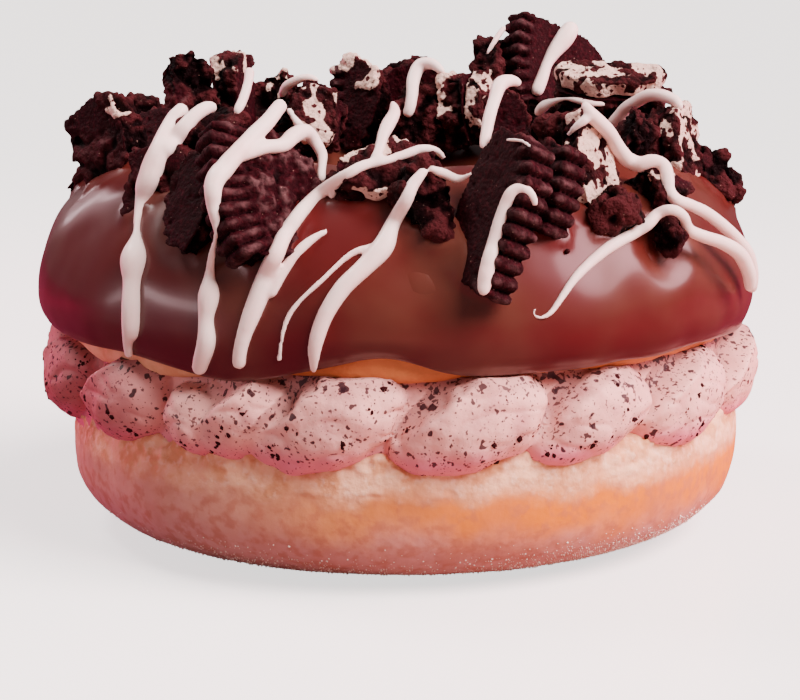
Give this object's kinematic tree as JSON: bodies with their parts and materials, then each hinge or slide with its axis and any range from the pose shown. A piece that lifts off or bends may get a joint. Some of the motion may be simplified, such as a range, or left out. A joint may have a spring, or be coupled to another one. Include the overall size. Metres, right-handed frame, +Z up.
{
  "type": "chocolate glazed doughnut",
  "caption": "Sliced ring doughnut filled with piped speckled cream, with a chocolate glaze, broken chocolate sandwich biscuits and a white drizzle on top.",
  "frame": {"origin": "on the surface the doughnut stands on, under the middle of its box", "axes": "+Z up through the hole, -Y towards the shown side, +X to the right seen from that side"},
  "size_m": [0.0908, 0.0943, 0.0637],
  "materials": {
    "fried_crust": "matte fried dough, tan below, pale where it was cut",
    "piped_cream": "soft satin cream with dark biscuit specks",
    "chocolate_glaze": "wet glossy chocolate icing with white drizzle strands",
    "chocolate_biscuit": "dry crumbly dark cocoa biscuit",
    "biscuit_cream": "dull pale sugar cream with crumbs"
  },
  "bodies": {
    "root": {"lower_bun": "fried_crust", "cream_filling": "piped_cream", "upper_bun": "fried_crust", "chocolate_glaze": "chocolate_glaze", "front_rim_wafer": "chocolate_biscuit", "big_rim_wafer": "chocolate_biscuit", "right_sandwich_wafer": "chocolate_biscuit", "right_sandwich_cream": "biscuit_cream", "left_face_wafer": "chocolate_biscuit", "rear_rim_wafer": "chocolate_biscuit", "shelf_wafer": "chocolate_biscuit", "shelf_cream": "biscuit_cream", "middle_sandwich_wafer": "chocolate_biscuit", "middle_sandwich_cream": "biscuit_cream", "front_point_wafer": "chocolate_biscuit", "behind_rim_wafer": "chocolate_biscuit", "left_dark_wafer": "chocolate_biscuit", "left_inner_wafer": "chocolate_biscuit", "left_flat_wafer": "chocolate_biscuit", "left_spike_wafer": "chocolate_biscuit", "left_blade_wafer": "chocolate_biscuit", "left_knob_chunk": "chocolate_biscuit", "rear_small_wafer": "chocolate_biscuit", "cream_top_wafer": "chocolate_biscuit", "cream_top_cream": "biscuit_cream", "rear_left_rim_wafer": "chocolate_biscuit", "rear_middle_chunk": "chocolate_biscuit", "rear_back_wafer": "chocolate_biscuit", "rear_line_wafer": "chocolate_biscuit", "rear_line_cream": "biscuit_cream", "rear_slim_wafer": "chocolate_biscuit", "inner_right_wafer": "chocolate_biscuit", "right_knob_chunk": "chocolate_biscuit", "right_blade_wafer": "chocolate_biscuit", "right_blade_cream": "biscuit_cream", "far_right_wafer": "chocolate_biscuit", "right_low_chunk": "chocolate_biscuit", "right_small_wafer": "chocolate_biscuit", "round_crumb_chunk": "chocolate_biscuit", "back_rim_wafer": "chocolate_biscuit", "back_sandwich_wafer": "chocolate_biscuit", "back_sandwich_cream": "biscuit_cream", "back_right_wafer": "chocolate_biscuit", "back_left_wafer": "chocolate_biscuit", "back_side_wafer": "chocolate_biscuit", "back_knob_chunk": "chocolate_biscuit", "shelf_prop_chunk": "chocolate_biscuit", "rear_prop_chunk": "chocolate_biscuit", "left_crest_wafer": "chocolate_biscuit", "left_side_wafer": "chocolate_biscuit", "right_side_wafer": "chocolate_biscuit", "right_rear_chunk": "chocolate_biscuit", "back_crest_wafer": "chocolate_biscuit", "back_top_wafer": "chocolate_biscuit", "back_inner_chunk": "chocolate_biscuit", "back_bit_chunk": "chocolate_biscuit"}
  },
  "joints": []
}
